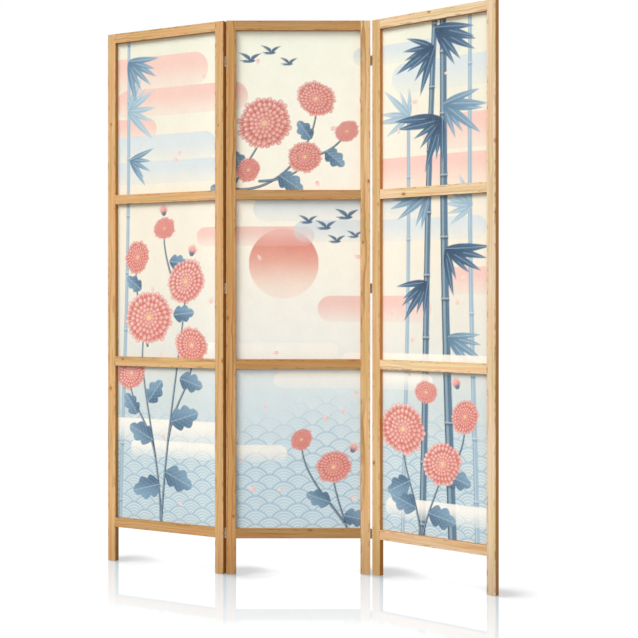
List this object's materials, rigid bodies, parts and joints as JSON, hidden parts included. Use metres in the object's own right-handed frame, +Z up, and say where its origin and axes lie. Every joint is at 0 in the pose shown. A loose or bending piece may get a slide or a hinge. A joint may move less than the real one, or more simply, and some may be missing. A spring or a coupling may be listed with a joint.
{
  "type": "folding screen",
  "caption": "Folding room screen of hinged wooden panels with printed canvas cells, standing on its stile ends in a zig-zag.",
  "frame": {"origin": "on the floor under the middle of the plan box round the standing screen", "axes": "+Z up, the printed front faces towards -Y, the panel that folds back is at -X and the one that folds forward at +X"},
  "size_m": [1.203, 0.518, 1.71],
  "materials": {
    "frame_pine": "clear satin varnish on pine",
    "dowel_beech": "plain beech, glued",
    "print_canvas": "matt printed canvas",
    "hinge_steel": "zinc plated",
    "brad_steel": "bright wire"
  },
  "bodies": {
    "middle_panel": {"left_joint_inner_screws": "hinge_steel", "left_lower_hinge_inner_leaf": "hinge_steel", "left_lower_hinge_pin": "hinge_steel", "left_middle_hinge_inner_leaf": "hinge_steel", "left_middle_hinge_pin": "hinge_steel", "left_upper_hinge_inner_leaf": "hinge_steel", "left_upper_hinge_pin": "hinge_steel", "middle_panel_back_beads": "frame_pine", "middle_panel_bead_brads": "brad_steel", "middle_panel_bottom_rail": "frame_pine", "middle_panel_left_stile": "frame_pine", "middle_panel_lower_mid_rail": "frame_pine", "middle_panel_lower_print": "print_canvas", "middle_panel_middle_print": "print_canvas", "middle_panel_rail_dowels": "dowel_beech", "middle_panel_right_stile": "frame_pine", "middle_panel_top_rail": "frame_pine", "middle_panel_upper_mid_rail": "frame_pine", "middle_panel_upper_print": "print_canvas", "right_joint_inner_screws": "hinge_steel", "right_lower_hinge_inner_leaf": "hinge_steel", "right_lower_hinge_pin": "hinge_steel", "right_middle_hinge_inner_leaf": "hinge_steel", "right_middle_hinge_pin": "hinge_steel", "right_upper_hinge_inner_leaf": "hinge_steel", "right_upper_hinge_pin": "hinge_steel"},
    "left_panel": {"left_joint_outer_screws": "hinge_steel", "left_lower_hinge_outer_leaf": "hinge_steel", "left_middle_hinge_outer_leaf": "hinge_steel", "left_panel_back_beads": "frame_pine", "left_panel_bead_brads": "brad_steel", "left_panel_bottom_rail": "frame_pine", "left_panel_left_stile": "frame_pine", "left_panel_lower_mid_rail": "frame_pine", "left_panel_lower_print": "print_canvas", "left_panel_middle_print": "print_canvas", "left_panel_rail_dowels": "dowel_beech", "left_panel_right_stile": "frame_pine", "left_panel_top_rail": "frame_pine", "left_panel_upper_mid_rail": "frame_pine", "left_panel_upper_print": "print_canvas", "left_upper_hinge_outer_leaf": "hinge_steel"},
    "right_panel": {"right_joint_outer_screws": "hinge_steel", "right_lower_hinge_outer_leaf": "hinge_steel", "right_middle_hinge_outer_leaf": "hinge_steel", "right_panel_back_beads": "frame_pine", "right_panel_bead_brads": "brad_steel", "right_panel_bottom_rail": "frame_pine", "right_panel_left_stile": "frame_pine", "right_panel_lower_mid_rail": "frame_pine", "right_panel_lower_print": "print_canvas", "right_panel_middle_print": "print_canvas", "right_panel_rail_dowels": "dowel_beech", "right_panel_right_stile": "frame_pine", "right_panel_top_rail": "frame_pine", "right_panel_upper_mid_rail": "frame_pine", "right_panel_upper_print": "print_canvas", "right_upper_hinge_outer_leaf": "hinge_steel"}
  },
  "joints": [
    {"name": "left_fold", "type": "hinge", "parent": "middle_panel", "child": "left_panel", "pos_m": [-0.20149, 0.04775, 0.883], "axis": [0, 0, 1], "range_deg": [-151.5, 28.5]},
    {"name": "right_fold", "type": "hinge", "parent": "middle_panel", "child": "right_panel", "pos_m": [0.24656, 0.02775, 0.883], "axis": [0, 0, 1], "range_deg": [-140, 40]}
  ]
}
